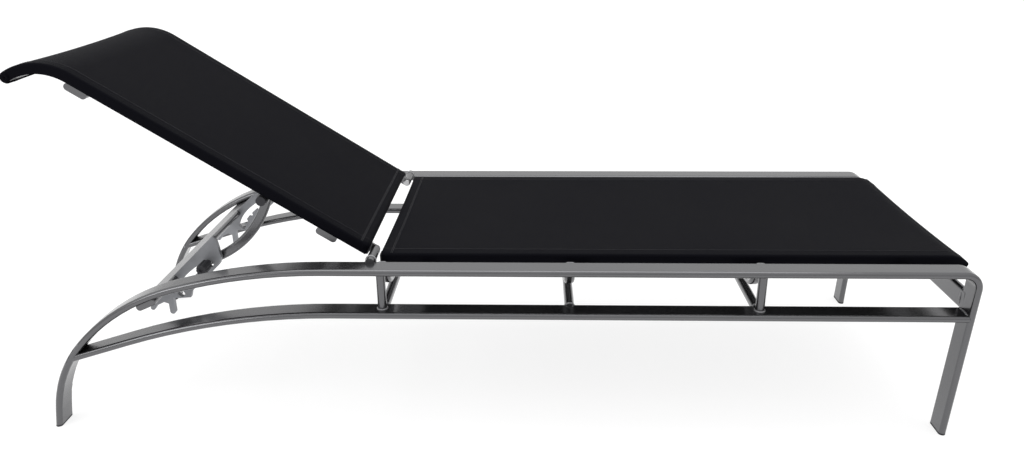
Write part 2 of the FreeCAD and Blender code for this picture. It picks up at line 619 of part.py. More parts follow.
def notched_plate(bar):
    """Cast plate: a slotted arm up to the top notch and two stops under the bar."""
    y0, y1 = -PLATE_CENTRE - PLATE_THICK / 2, -PLATE_CENTRE + PLATE_THICK / 2
    (qx, qz), (fx, fz), (bx, bz) = prop_pin(), prop_pin(BACK_ANGLE), rack_bar_centre()
    bx, bz = bx - 7, bz - 4
    arm = plate([(qx + 14, qz + 57), (qx + 21, qz + 52), (qx + 29, qz + 12), (qx + 24, qz - 3),
                 (qx - 6, qz - 32), (fx + 26, fz + 2), (fx + 22, fz - 12), (fx - 2, fz - 14),
                 (bx + 12, bz - 36), (bx - 10, bz - 16), (bx - 2, bz + 4), (bx + 14, bz + 12)], y0, y1)
    capsules = [((qx + 16, qz + 52), (qx + 20, qz + 30), 6), ((bx + 4, bz - 20), (bx + 4, bz - 68), 6),
                ((bx - 18, bz - 28), (bx - 38, bz - 60), 5), ((fx + 18, fz + 4), (fx + 18, fz - 3), 6)]
    parts = [capsule(r, a, b, y0, y1) for a, b, r in capsules]
    web = plate([(bx + 6, bz - 10), (bx + 6, bz - 52), (bx - 12, bz - 46), (bx - 32, bz - 56),
                 (bx - 26, bz - 30), (bx - 6, bz - 6)], y0, y1)
    solid = arm.multiFuse(parts + [web]).removeSplitter()
    return main_solid(solid.cut(slot_cutter(y0 - 1, y1 + 1)).cut(bar))


def racks(nodes, upper):
    bar = rack_bar(upper)
    nodes["rack_bar"] = bar
    both_sides(nodes, "notched_plate", notched_plate(bar))


def build():
    nodes = {}
    upper, lower = side_frame(nodes)
    cross_tubes(nodes, upper, lower)
    foot_member(nodes, upper)
    seat(nodes)
    backrest(nodes)
    hinges(nodes, upper)
    prop(nodes)
    racks(nodes, upper)
    return nodes


os.makedirs("parts", exist_ok=True)
for node, shape in build().items():
    if not shape.isValid() or shape.Volume <= 0:
        raise ValueError("bad solid: " + node)
    shape.exportStep("parts/" + node + ".step")
    box = shape.BoundBox
    print("%-24s %d %9.0f  x %7.1f %7.1f  y %7.1f %7.1f  z %7.1f %7.1f" % (
        node, len(shape.Solids), shape.Volume, box.XMin, box.XMax, box.YMin, box.YMax, box.ZMin, box.ZMax))
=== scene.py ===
"""Finishes and soft parts for the reclining sun lounger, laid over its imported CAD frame."""

import json

import bmesh
import bpy
from math import cos, pi, radians, sin
from mathutils import Matrix, Vector


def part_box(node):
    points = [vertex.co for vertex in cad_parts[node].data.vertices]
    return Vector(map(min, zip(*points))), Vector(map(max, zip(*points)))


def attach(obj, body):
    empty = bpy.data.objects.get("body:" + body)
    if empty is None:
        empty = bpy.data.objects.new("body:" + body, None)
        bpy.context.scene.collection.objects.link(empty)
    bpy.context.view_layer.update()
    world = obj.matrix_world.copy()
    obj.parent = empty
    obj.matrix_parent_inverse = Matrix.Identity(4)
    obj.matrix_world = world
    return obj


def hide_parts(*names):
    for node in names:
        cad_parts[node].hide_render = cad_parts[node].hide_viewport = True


bl_info = {
    "name": "Reclining sun lounger",
    "version": (1, 0, 0),
    "blender": (4, 5, 0),
    "location": "View3D > Sidebar > Lounger",
    "description": "Builds the slings, trim, finishes and studio of a reclining sun lounger",
    "category": "Add Mesh",
}

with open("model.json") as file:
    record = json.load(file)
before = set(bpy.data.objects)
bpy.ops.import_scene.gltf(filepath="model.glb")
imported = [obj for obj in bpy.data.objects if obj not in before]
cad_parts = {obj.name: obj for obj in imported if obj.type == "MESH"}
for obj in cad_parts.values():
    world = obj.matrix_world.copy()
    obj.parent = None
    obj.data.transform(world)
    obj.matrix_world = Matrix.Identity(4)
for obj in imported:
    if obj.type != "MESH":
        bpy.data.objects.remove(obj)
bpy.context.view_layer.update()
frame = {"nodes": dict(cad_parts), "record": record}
NODES = frame["nodes"]
HINGE = Vector(frame["record"]["behaviour"]["joints"][0]["pos_m"])
SIDES = (("right", -1), ("left", 1))
STATIONS = ("head", "middle", "foot")
ACROSS = Vector((0, 1, 0))
UP = Vector((0, 0, 1))
ALONG = Vector((1, 0, 0))

YARN_PITCH = 0.0026         # warp and weft of the mesh cloth
RAIL_CORNER = 0.004         # rounded corners of the sling rails' caps
CAP_SINK = 0.002            # end cap, into its tube
SCREW_INSET = 0.007         # outer bracket screw, in from the bracket's end
SAG_RUN_IN = 0.12           # sling's hollow grows over this length from each end
SAG_INSET = 0.02            # flat strip beside a rail
WELD_PROUD = 0.0004         # weld line, outside the tube it runs round
FLOOR_REACH = 30.0


def centre(node):
    low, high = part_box(node)
    return (Vector(low) + Vector(high)) / 2


def size(node):
    low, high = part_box(node)
    return Vector(high) - Vector(low)


# ---- sizes and colours a user would change -----------------------------------
def length_prop(name, text, default):
    return bpy.props.FloatProperty(name=name, description=text, default=default, unit="LENGTH", precision=4)


def angle_prop(name, text, default):
    return bpy.props.FloatProperty(name=name, description=text, default=radians(default), subtype="ANGLE",
                                   unit="ROTATION")


def colour_prop(name, text, default):
    return bpy.props.FloatVectorProperty(name=name, description=text, default=default, subtype="COLOR",
                                         min=0, max=1)


class LoungerSlingSizes(bpy.types.PropertyGroup):
    """The mesh slings and their sewing."""
    thick: length_prop("Cloth thickness", "Thickness of the sling mesh", 0.0016)
    gap: length_prop("Gap over rail", "Space between the sling and the rail under it", 0.0004)
    corner: length_prop("Edge radius", "Radius of the sling where it turns down over a rail", 0.0055)
    seat_sag: length_prop("Seat sag", "How far the seat sling hangs between its rails", 0.006)
    seat_rail: length_prop("Seat rail height", "Height of the rails under the seat sling", 0.023)
    fall_radius: length_prop("Fall radius", "Radius of the seat's downward curve at the foot", 0.040)
    fall_angle: angle_prop("Fall angle", "Turn of the seat's downward curve at the foot", 48)
    back_sag: length_prop("Back sag", "How far the back sling hangs between its rails", 0.004)
    hem: length_prop("Hem", "Width of the hem folded at a sling's ends", 0.024)
    hem_rise: length_prop("Hem rise", "How far a folded hem stands up", 0.0007)
    seam_inset: length_prop("Seam inset", "Side seam, in from the sling's edge", 0.027)
    stitch_pitch: length_prop("Stitch pitch", "Distance from one stitch to the next", 0.0052)
    stitch_length: length_prop("Stitch length", "Length of one stitch", 0.0038)
    stitch_radius: length_prop("Thread radius", "Radius of the sewing thread", 0.00038)


class LoungerBackSizes(bpy.types.PropertyGroup):
    """The line of the backrest's rails."""
    angle: angle_prop("Backrest angle", "Backrest above flat at its top notch", 32.7)
    start: length_prop("Rail start", "Rail end from the hinge", 0.014)
    straight: length_prop("Straight length", "Hinge to the start of the curl", 0.663)
    curl_radius: length_prop("Curl radius", "Radius of the rail's curl at the head", 0.114)
    curl_angle: angle_prop("Curl angle", "Turn of the curl at the head", 64)


class LoungerTrimSizes(bpy.types.PropertyGroup):
    """Welds, screws, caps and knobs."""
    bead_radius: length_prop("Weld bead", "Radius of one ripple of a weld", 0.0021)
    bead_pitch: length_prop("Weld pitch", "Distance from one ripple to the next", 0.0024)
    screw_radius: length_prop("Screw head", "Radius of a bracket screw's head", 0.0062)
    bracket_thick: length_prop("Bracket thickness", "Thickness of the seat brackets", 0.005)
    rack_bar_width: length_prop("Rack bar width", "Long side of the bar that carries the plates", 0.044)
    rack_bar_thick: length_prop("Rack bar thickness", "Short side of the same bar", 0.014)
    rack_bar_slope: angle_prop("Rack bar slope", "Slope of the same bar", 24)
    cap_depth: length_prop("Cap depth", "How far an end cap stands out of its tube", 0.0035)
    knob_flutes: bpy.props.IntProperty(name="Knob flutes", description="Hollows round a prop knob", default=9)
    flute_depth: length_prop("Flute depth", "Depth of a hollow on a prop knob", 0.0016)


class LoungerColours(bpy.types.PropertyGroup):
    """Colours of the finishes and of the studio."""
    tube: colour_prop("Tube", "Glossy pewter coating of the tubes", (0.125, 0.125, 0.13))
    casting: colour_prop("Casting", "Coating of the notched plates", (0.25, 0.255, 0.27))
    weld: colour_prop("Weld", "Bare metal of the welds", (0.32, 0.32, 0.33))
    sling: colour_prop("Sling", "Black mesh cloth", (0.0026, 0.0026, 0.0040))
    nylon: colour_prop("Nylon", "Moulded black nylon", (0.011, 0.012, 0.018))
    steel: colour_prop("Steel", "Plated screws and pins", (0.5, 0.5, 0.51))
    floor: colour_prop("Floor", "Pale studio floor", (0.93, 0.93, 0.93))


class LoungerCamera(bpy.types.PropertyGroup):
    """Place and lens of the camera."""
    place: bpy.props.FloatVectorProperty(name="Place", description="Camera position", unit="LENGTH",
                                         default=(0.07522, -1.79595, 1.02466))
    pitch: angle_prop("Pitch", "Camera tilt below level", 21.487)
    yaw: angle_prop("Yaw", "Camera turn about vertical", 1.615)
    roll: angle_prop("Roll", "Camera roll about its line of sight", 0.383)
    lens: bpy.props.FloatProperty(name="Lens", description="Focal length on a 36 mm wide sensor",
                                  default=29.216, unit="CAMERA")


PROPERTY_GROUPS = {"lounger_sling": LoungerSlingSizes, "lounger_back": LoungerBackSizes,
                   "lounger_trim": LoungerTrimSizes, "lounger_colours": LoungerColours,
                   "lounger_camera": LoungerCamera}


# ---- finishes ----------------------------------------------------------------
class Field:
    """A shader value that works in sums; each step adds a Math node."""

    def __init__(self, finish, socket):
        self.finish = finish
        self.socket = socket

    def maths(self, operation, *values):
        return self.finish.node("ShaderNodeMath", {"operation": operation}, *values)

    def __add__(self, other):
        return self.maths("ADD", self, other)

    def __mul__(self, other):
        return self.maths("MULTIPLY", self, other)

    __radd__ = __add__
    __rmul__ = __mul__

    def sine(self):
        return self.maths("SINE", self)

    def size(self):
        return self.maths("ABSOLUTE", self)


class Finish:
    """A procedural material under construction."""

    def __init__(self, name):
        self.material = bpy.data.materials.new(name)
        self.material.use_nodes = True
        self.tree = self.material.node_tree
        self.shader = self.tree.nodes["Principled BSDF"]

    def node(self, kind, settings, *values, out=0, **named):
        made = self.tree.nodes.new(kind)
        for key, value in settings.items():
            setattr(made, key, value)
        for key, value in list(enumerate(values)) + list(named.items()):
            self.join(made.inputs[key if isinstance(key, int) else key.replace("_", " ")], value)
        return Field(self, made.outputs[out])

    def join(self, socket, value):
        if isinstance(value, Field):
            self.tree.links.new(value.socket, socket)
        else:
            socket.default_value = value

    def place(self):
        """Object coordinates, in metres."""
        return self.node("ShaderNodeTexCoord", {}, out="Object")

    def noise(self, place, scale, detail=2.0):
        return self.node("ShaderNodeTexNoise", {}, Vector=place, Scale=scale, Detail=detail, out="Fac")

    def shade(self, factor, dark, light):
        """Colour between two colours."""
        mixed = self.node("ShaderNodeMix", {"data_type": "RGBA"}, out=2)
        node = mixed.socket.node
        self.join(node.inputs[0], factor)
        self.join(node.inputs[6], (*dark, 1))
        self.join(node.inputs[7], (*light, 1))
        return mixed

    def bump(self, height, strength, distance):
        normal = self.node("ShaderNodeBump", {}, Height=height, Strength=strength, Distance=distance)
        self.join(self.shader.inputs["Normal"], normal)

    def set(self, **values):
        for key, value in values.items():
            self.join(self.shader.inputs[key.replace("_", " ")], value)
        return self.material


def scaled(colour, factor):
    return tuple(min(channel * factor, 1.0) for channel in colour)


def tube_finish(name, colour, grain, roughness, metallic, coat):
    """Glossy metallic coating with a slight orange-peel and dull patches."""
    finish = Finish(name)
    place = finish.place()
    patches = finish.noise(place, 9.0, 3.0)
    speck = finish.noise(place, grain, 2.0)
    finish.bump(speck, 0.05, 0.0004)
    coating = finish.shade(patches * 0.6 + speck * 0.4, scaled(colour, 0.88), scaled(colour, 1.12))
    return finish.set(Base_Color=coating, Roughness=patches * 0.10 + (roughness - 0.05),
                      Metallic=metallic, Coat_Weight=coat, Coat_Roughness=0.12)


def casting_finish(name, colour):
    """Sand-cast aluminium under paint: grainy, with darker hollows."""
    finish = Finish(name)
    place = finish.place()
    grain = finish.noise(place, 900.0, 3.0)
    patches = finish.noise(place, 40.0, 3.0)
    finish.bump(grain * 0.7 + patches * 0.3, 0.25, 0.0006)
    return finish.set(Base_Color=finish.shade(patches, scaled(colour, 0.8), scaled(colour, 1.15)),
                      Roughness=grain * 0.15 + 0.36, Metallic=0.55)


def weld_finish(name, colour):
    finish = Finish(name)
    place = finish.place()
    heat = finish.noise(place, 160.0, 2.0)
    finish.bump(finish.noise(place, 1800.0), 0.2, 0.0003)
    return finish.set(Base_Color=finish.shade(heat, scaled(colour, 0.7), scaled(colour, 1.2)),
                      Roughness=heat * 0.2 + 0.25, Metallic=0.9)


def nylon_finish(name, colour):
    finish = Finish(name)
    place = finish.place()
    grain = finish.noise(place, 1400.0, 2.0)
    wear = finish.noise(place, 60.0, 3.0)
    finish.bump(grain, 0.15, 0.0004)
    return finish.set(Base_Color=finish.shade(wear, scaled(colour, 0.8), scaled(colour, 1.5)),
                      Roughness=wear * 0.14 + 0.34)


def steel_finish(name, colour):
    finish = Finish(name)
    place = finish.place()
    turned = finish.node("ShaderNodeMapping", {}, Vector=place, Scale=(900.0, 60.0, 900.0))
    lines = finish.noise(turned, 1.0, 2.0)
    finish.bump(lines, 0.1, 0.0002)
    return finish.set(Base_Color=finish.shade(lines, scaled(colour, 0.85), scaled(colour, 1.1)),
                      Roughness=lines * 0.12 + 0.24, Metallic=1.0)


def sling_finish(name, colour):
    """Vinyl-coated mesh: warp and weft cross over and under, at a fixed pitch along the cloth's UV map."""
    finish = Finish(name)
    cloth = finish.node("ShaderNodeUVMap", {"uv_map": "cloth"})
    split = finish.node("ShaderNodeSeparateXYZ", {}, cloth)
    across = Field(finish, split.socket.node.outputs["X"])
    along = Field(finish, split.socket.node.outputs["Y"])
    turns = 2 * pi / YARN_PITCH
    warp, weft = (across * turns).sine(), (along * turns).sine()
    cross = warp * weft
    yarn = warp.size() * 0.5 + weft.size() * 0.5 + cross * 0.25
    stretch = finish.noise(finish.place(), 4.0, 3.0)
    dust = finish.noise(finish.place(), 350.0, 2.0)
    finish.bump(yarn, 0.35, 0.0005)
    vinyl = finish.shade(yarn * 0.6 + stretch * 0.4, scaled(colour, 0.6), scaled(colour, 1.7))
    return finish.set(Base_Color=vinyl, Roughness=dust * 0.1 + stretch * 0.1 + 0.45, Specular_IOR_Level=0.02)


def make_finishes(colours):
    tube_finish("pewter_tube", colours.tube, 700.0, 0.24, 0.95, 0.25)
    casting_finish("cast_plate", colours.casting)
    weld_finish("weld_bead", colours.weld)
    nylon_finish("black_nylon", colours.nylon)
    steel_finish("plated_steel", colours.steel)
    sling_finish("sling_mesh", colours.sling)
    # Thread colour is the sling's colour lifted 2.5 times. The stitching is real, and its lighter thread is a
    # painted sheen line along the sling's side seams.
    nylon_finish("sewing_thread", scaled(colours.sling, 2.5))


SLOT_FINISHES = {"frame_metal": "pewter_tube", "casting_metal": "cast_plate", "black_nylon": "black_nylon",
                 "steel_fastener": "plated_steel", "sling_fabric": "sling_mesh"}


# ---- helpers for meshes --------------------------------------------------------
def new_piece(name, mesh, finish, body):
    """Object for a finished mesh, on its body."""
    piece = bpy.data.objects.new(name, mesh)
    bpy.context.scene.collection.objects.link(piece)
    piece.data.materials.clear()
    piece.data.materials.append(bpy.data.materials[finish])
    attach(piece, body)
    return piece


def smooth(mesh, angle=35):
    mesh.polygons.foreach_set("use_smooth", [True] * len(mesh.polygons))
    mesh.set_sharp_from_angle(angle=radians(angle))
    mesh.update()
    return mesh


def bm_mesh(name, bm):
    mesh = bpy.data.meshes.new(name)
    bmesh.ops.recalc_face_normals(bm, faces=bm.faces)
    bm.to_mesh(mesh)
    bm.free()
    return smooth(mesh)


def turned_on(bm, profile, origin, axis, reference, steps=40, shape=lambda turn, radius: radius):
    """Adds a turned solid: profile is (distance along axis, radius) from one pole to the other."""
    across = axis.cross(reference).normalized()
    rings = []
    for distance, radius in profile:
        if radius < 1e-6:
            rings.append([bm.verts.new(origin + axis * distance)])
            continue
        ring = []
        for i in range(steps):
            turn = 2 * pi * i / steps
            r = shape(turn, radius)
            spoke = reference * cos(turn) + across * sin(turn)
            ring.append(bm.verts.new(origin + axis * distance + spoke * r))
        rings.append(ring)
    for a, b in zip(rings, rings[1:]):
        for i in range(steps):
            j = (i + 1) % steps
            corners = [a[i % len(a)], a[j % len(a)], b[j % len(b)], b[i % len(b)]]
            bm.faces.new(list(dict.fromkeys(corners)))


def rounded_rectangle(width, height, corner, steps=5):
    """Outline points (across, up) of a rectangle with rounded corners."""
    points = []
    for sx, sy, first in ((1, 1, 0), (-1, 1, 90), (-1, -1, 180), (1, -1, 270)):
        for i in range(steps + 1):
            a = radians(first + 90 * i / steps)
            x, y = sx * (width / 2 - corner), sy * (height / 2 - corner)
            points.append((x + corner * cos(a), y + corner * sin(a)))
    return points


def plug(bm, origin, out, up, width, height, corner, depth):
    """Adds an end cap with a crowned face, standing out of a tube's end."""
    across = out.cross(up).normalized()
    rings = []
    for distance, shrink in ((-CAP_SINK, 0.0), (depth * 0.55, 0.0), (depth * 0.85, 0.0008), (depth, 0.0024)):
        points = rounded_rectangle(width - 2 * shrink, height - 2 * shrink, max(corner - shrink, 0.0006))
        rings.append([bm.verts.new(origin + out * distance + across * x + up * y) for x, y in points])
    for a, b in zip(rings, rings[1:]):
        for i in range(len(a)):
            j = (i + 1) % len(a)
            bm.faces.new((a[i], a[j], b[j], b[i]))
    bm.faces.new(rings[0])
    bm.faces.new(rings[-1])


# ---- geometry node trees -------------------------------------------------------
class Tree:
    """A geometry node tree with named inputs."""

    def __init__(self, name):
        self.group = bpy.data.node_groups.new(name, "GeometryNodeTree")
        self.interface("Geometry", "NodeSocketGeometry", "INPUT")
        self.interface("Geometry", "NodeSocketGeometry", "OUTPUT")
        self.start = self.group.nodes.new("NodeGroupInput")
        self.end = self.group.nodes.new("NodeGroupOutput")
        self.keys = {}

    def interface(self, name, kind, way):
        return self.group.interface.new_socket(name=name, in_out=way, socket_type=kind)

    def size(self, name, default):
        self.keys[name] = self.interface(name, "NodeSocketFloat", "INPUT").identifier
        self.group.interface.items_tree[name].default_value = default
        return self.start.outputs[name]

    def add(self, kind, settings=(), **inputs):
        node = self.group.nodes.new(kind)
        for key, value in dict(settings).items():
            setattr(node, key, value)
        for key, value in inputs.items():
            socket = node.inputs[key.replace("_", " ")]
            if isinstance(value, bpy.types.NodeSocket):
                self.group.links.new(value, socket)
            else:
                socket.default_value = value
        return node.outputs[0]

    def finish(self, geometry, material):
        real = self.add("GeometryNodeRealizeInstances", Geometry=geometry)
        done = self.add("GeometryNodeSetMaterial", Geometry=real, Material=bpy.data.materials[material])
        self.group.links.new(done, self.end.inputs[0])

    def bake(self, name, mesh, sizes):
        """Plain mesh of the tree run on a mesh."""
        holder = bpy.data.objects.new(name + "_lines", mesh)
        bpy.context.scene.collection.objects.link(holder)
        modifier = holder.modifiers.new("nodes", "NODES")
        modifier.node_group = self.group
        for key, value in sizes.items():
            modifier[self.keys[key]] = value
        bpy.context.view_layer.update()
        evaluated = holder.evaluated_get(bpy.context.evaluated_depsgraph_get())
        made = bpy.data.meshes.new_from_object(evaluated)
        made.name = name
        bpy.data.objects.remove(holder)
        return smooth(made, 50)


def lines_mesh(name, lines):
    """Edge-only mesh of open or closed lines of points."""
    mesh = bpy.data.meshes.new(name)
    points, edges = [], []
    for line, closed in lines:
        first = len(points)
        points.extend(tuple(p) for p in line)
        edges.extend((first + i, first + i + 1) for i in range(len(line) - 1))
        if closed:
            edges.append((first + len(line) - 1, first))
    mesh.from_pydata(points, edges, [])
    return mesh


def tree_along_lines(name, material, make_shape, stand_up):
    """Tree that puts a small shape at an even pitch along every line."""
    tree = Tree(name)
    pitch = tree.size("Pitch", 0.004)
    curve = tree.add("GeometryNodeMeshToCurve", Mesh=tree.start.outputs["Geometry"])
    points = tree.add("GeometryNodeCurveToPoints", {"mode": "LENGTH"}, Curve=curve, Length=pitch)
    inputs = {"Points": points, "Instance": make_shape(tree)}
    if stand_up:
        tangent = points.node.outputs["Tangent"]
        inputs["Rotation"] = tree.add("FunctionNodeAlignRotationToVector", {"axis": "Z"}, Vector=tangent)
    tree.finish(tree.add("GeometryNodeInstanceOnPoints", **inputs), material)
    return tree


def stitch_shape(tree):
    """A short round thread."""
    return tree.add("GeometryNodeMeshCylinder", {"fill_type": "TRIANGLE_FAN"}, Vertices=6,
                    Radius=tree.size("Radius", 0.0004), Depth=tree.size("Length", 0.004))


def bead_shape(tree):
    """One ripple of a weld."""
    return tree.add("GeometryNodeMeshIcoSphere", Radius=tree.size("Radius", 0.002), Subdivisions=2)


# ---- slings ---------------------------------------------------------------------
class SlingForm:
    """Shape of a sling over its two rails, as a function of distances on the flat cloth."""

    def __init__(self, sizes, rail_half_width, rail_height, sag):
        self.corner, self.sag, self.hem, self.rise = sizes.corner, sag, sizes.hem, sizes.hem_rise
        self.half_width = rail_half_width + sizes.gap + sizes.thick
        self.top = rail_height / 2 + sizes.gap + sizes.thick
        self.drop = rail_height + sizes.gap + sizes.thick - self.corner
        self.flat = self.half_width - self.corner
        self.half_cloth = self.flat + pi / 2 * self.corner + self.drop
        self.runs = []
        self.length = 0.0

    def run(self, length, place):
        """Adds a run of cloth; place(fraction) gives (rail centre, up)."""
        self.runs.append((self.length, length, place))
        self.length += length

    def at(self, distance):
        for first, length, place in reversed(self.runs):
            if distance >= first:
                return place(min((distance - first) / length, 1.0))
        return self.runs[0][2](0.0)

    def hollow(self, along, across):
        """How far the cloth hangs below its edges."""
        ends = min(1.0, along / SAG_RUN_IN, (self.length - along) / SAG_RUN_IN)
        width = max(0.0, 1 - (across / (self.flat - SAG_INSET)) ** 2)
        return self.sag * width * (0.45 + 0.55 * max(ends, 0.0))

    def fold(self, along):
        edge = min(along, self.length - along)
        return self.rise * min(1.0, max(0.0, (self.hem - edge) / 0.0015 + 0.5))

    def point(self, along, across, lift=0.0):
        origin, up = self.at(along)
        side = 1 if across >= 0 else -1
        reach = abs(across)
        round_length = pi / 2 * self.corner
        if reach <= self.flat:
            y = reach
            height = self.top - self.hollow(along, across) + lift
        elif reach <= self.flat + round_length:
            turn = (reach - self.flat) / self.corner
            y = self.flat + (self.corner + lift) * sin(turn)
            height = self.top - self.corner + (self.corner + lift) * cos(turn)
        else:
            y = self.half_width + lift
            height = self.top - self.corner - (reach - self.flat - round_length)
        return origin + ACROSS * side * y + up * (height + self.fold(along) * (reach <= self.flat))

    def steps_across(self):
        half = [self.flat * i / 22 for i in range(23)]
        half += [self.flat + pi / 2 * self.corner * i / 6 for i in range(1, 7)]
        half += [self.half_cloth - self.drop * (1 - i / 3) for i in range(1, 4)]
        return [-x for x in reversed(half[1:])] + half

    def steps_along(self):
        steps = []
        for first, length, _ in self.runs:
            count = max(4, round(length / (0.011 if length > 0.3 else 0.004)))
            steps += [first + length * i / count for i in range(count)]
        inside = [self.hem - 0.0008, self.hem + 0.0008]
        steps += inside + [self.length - x for x in inside] + [self.length]
        return sorted(steps)

    def mesh(self, name):
        rows, columns = self.steps_along(), self.steps_across()
        points = [self.point(s, t) for s in rows for t in columns]
        wide = len(columns)
        faces = []
        for i in range(len(rows) - 1):
            for j in range(wide - 1):
                a = i * wide + j
                faces.append((a, a + 1, a + wide + 1, a + wide))
        mesh = bpy.data.meshes.new(name)
        mesh.from_pydata(points, [], faces)
        middle = mesh.polygons[len(mesh.polygons) // 8 * 4 + wide // 2]
        if middle.normal.z < 0:
            mesh.flip_normals()
        layer = mesh.uv_layers.new(name="cloth")
        for loop in mesh.loops:
            row, column = divmod(loop.vertex_index, wide)
            layer.data[loop.index].uv = (columns[column], rows[row])
        return smooth(mesh, 60)

    def seams(self, inset, thread):
        """Lines of stitching: two rows across each hem and one down each side."""
        lines = []
        reach = self.half_width - inset
        rows = (self.hem * 0.8, self.hem * 0.92)
        across = [t for t in self.steps_across() if abs(t) <= self.flat]
        for s in (*rows, *(self.length - row for row in rows)):
            lines.append(([self.point(s, t, thread) for t in across], False))
        for side in (-1, 1):
            lines.append(([self.point(s, side * reach, thread) for s in self.steps_along()], False))
        return lines


def reach_of(node):
    """Outer face of a right-hand rail, from the centre plane."""
    return abs(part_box(node)[0][1])


def seat_line(sizes):
    """Start, straight length and end frame of a seat rail's centre line."""
    low, high = (Vector(corner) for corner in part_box("right_seat_rail"))
    start = Vector((low.x, 0, high.z - sizes.seat_rail / 2))
    straight = high.x - (sizes.fall_radius + sizes.seat_rail / 2) * sin(sizes.fall_angle) - low.x
    turn_centre = start + ALONG * straight - UP * sizes.fall_radius

    def fall(f):
        up = Vector((sin(sizes.fall_angle * f), 0, cos(sizes.fall_angle * f)))
        return turn_centre + up * sizes.fall_radius, up

    return start, straight, fall


def seat_form(sizes):
    form = SlingForm(sizes, reach_of("right_seat_rail"), sizes.seat_rail, sizes.seat_sag)
    start, straight, fall = seat_line(sizes)
    form.run(straight, lambda f: (start + ALONG * straight * f, UP))
    form.run((sizes.fall_radius + form.top) * sizes.fall_angle, fall)
    return form


def back_axes(back, turned=0.0):
    """Unit vectors along and square to the backrest, after part of the curl."""
    a = back.angle - turned
    return Vector((-cos(a), 0, sin(a))), Vector((sin(a), 0, cos(a)))


def back_form(sizes, back):
    form = SlingForm(sizes, reach_of("right_back_rail"), size("back_head_bar").z, sizes.back_sag)
    along, up = back_axes(back)
    bend = HINGE + along * back.straight
    turn_centre = bend - up * back.curl_radius

    def curl(f):
        normal = back_axes(back, back.curl_angle * f)[1]
        return turn_centre + normal * back.curl_radius, normal

    def wrap(f):
        return curl(1.0)[0], back_axes(back, back.curl_angle + pi * f)[1]

    straight = back.straight - back.start
    form.run(straight, lambda f: (HINGE + along * (back.start + straight * f), up))
    form.run((back.curl_radius + form.top) * back.curl_angle, curl)
    form.run(form.top * pi, wrap)
    return form


def make_sling(name, form, body, node, sizes):
    """Cloth with its thickness, and its rows of stitches."""
    mesh = form.mesh(name)
    # Stitches take the lighter thread, which paints a sheen line along the side seams.
    stitches = tree_along_lines(name + "_stitching", "sewing_thread", stitch_shape, True)
    lines = lines_mesh(name + "_seams", form.seams(sizes.seam_inset, sizes.stitch_radius * 0.4))
    stitch = {"Pitch": sizes.stitch_pitch, "Radius": sizes.stitch_radius, "Length": sizes.stitch_length}
    thread = stitches.bake(name + "_stitches", lines, stitch)
    sewing = new_piece(name + "_stitches", thread, "sewing_thread", body)
    cloth = new_piece(name + "_cloth", mesh, "sling_mesh", body)
    shell = cloth.modifiers.new("thickness", "SOLIDIFY")
    shell.thickness = sizes.thick
    shell.offset = -1
    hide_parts(node)
    2 * form.half_cloth


class LOUNGER_OT_seat_sling(bpy.types.Operator):
    """Stretch the seat sling over its rails"""
    bl_idname = "lounger.seat_sling"
    bl_label = "Seat sling"

    def execute(self, context):
        sizes = context.scene.lounger_sling
        make_sling("seat", seat_form(sizes), "base", "seat_sling",
                   sizes)
        return {"FINISHED"}


class LOUNGER_OT_back_sling(bpy.types.Operator):
    """Stretch the back sling over its curled rails and round the head bar"""
    bl_idname = "lounger.back_sling"
    bl_label = "Back sling"

    def execute(self, context):
        sizes = context.scene.lounger_sling
        form = back_form(sizes, context.scene.lounger_back)
        make_sling("back", form, "backrest", "back_sling",
                   sizes)
        return {"FINISHED"}


# ---- finishes of the CAD nodes ------------------------------------------------------
class LOUNGER_OT_finishes(bpy.types.Operator):
    """Make the finishes and lay them on the frame's parts"""
    bl_idname = "lounger.finishes"
    bl_label = "Finishes"

    def execute(self, context):
        make_finishes(context.scene.lounger_colours)
        for entry in frame["record"]["subparts"]:
            node = NODES[entry["node"]]
            node.data.materials.clear()
            node.data.materials.append(bpy.data.materials[SLOT_FINISHES[entry["material_slot"]]])
        return {"FINISHED"}


# ---- welds ----------------------------------------------------------------------------
def ring(middle, a, b, steps=36):
    """Closed line round a centre; a and b are its half axes."""
    points = [middle + a * cos(2 * pi * i / steps) + b * sin(2 * pi * i / steps) for i in range(steps)]
    return points, True


def weld_lines():
    """Rings of weld where the tubes of the base meet."""
    lines = []
    rail_inside = abs(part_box("right_side_frame")[1][1])
    thick = size("foot_cross_member").x
    for side, sign in SIDES:
        for end in ("head", "foot"):
            low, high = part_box(side + "_" + end + "_post")
            r = (high[0] - low[0]) / 2 + WELD_PROUD
            for z in (low[2] + 0.001, high[2] - 0.001):
                middle = Vector((*centre(side + "_" + end + "_post").xy, z))
                lines.append(ring(middle, ALONG * r, ACROSS * r))
        for station in STATIONS:
            tube = centre(station + "_cross_tube")
            r = size(station + "_cross_tube").x / 2 + 0.0003
            lines.append(ring(Vector((tube.x, sign * (rail_inside + 0.003), tube.z)), ALONG * r, UP * r))
        barrel = centre(side + "_hinge_barrel")
        r = size(side + "_hinge_barrel").x / 2
        lines.append(ring(Vector((barrel.x, sign * (rail_inside - 0.0005), barrel.z)), ALONG * r, UP * r))
        member = centre("foot_cross_member")
        lines.append(ring(Vector((member.x, sign * (rail_inside - 0.0005), member.z)),
                          ALONG * thick * 0.52, UP * size("foot_cross_member").z * 0.5))
        low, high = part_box(side + "_lower_rail")
        half = (high[1] - low[1]) / 2 - 0.002
        level = centre("head_cross_tube").z
        lines.append(ring(Vector((high[0] - 0.0022, (low[1] + high[1]) / 2, level)),
                          ACROSS * half, UP * thick * 0.55))
    return lines


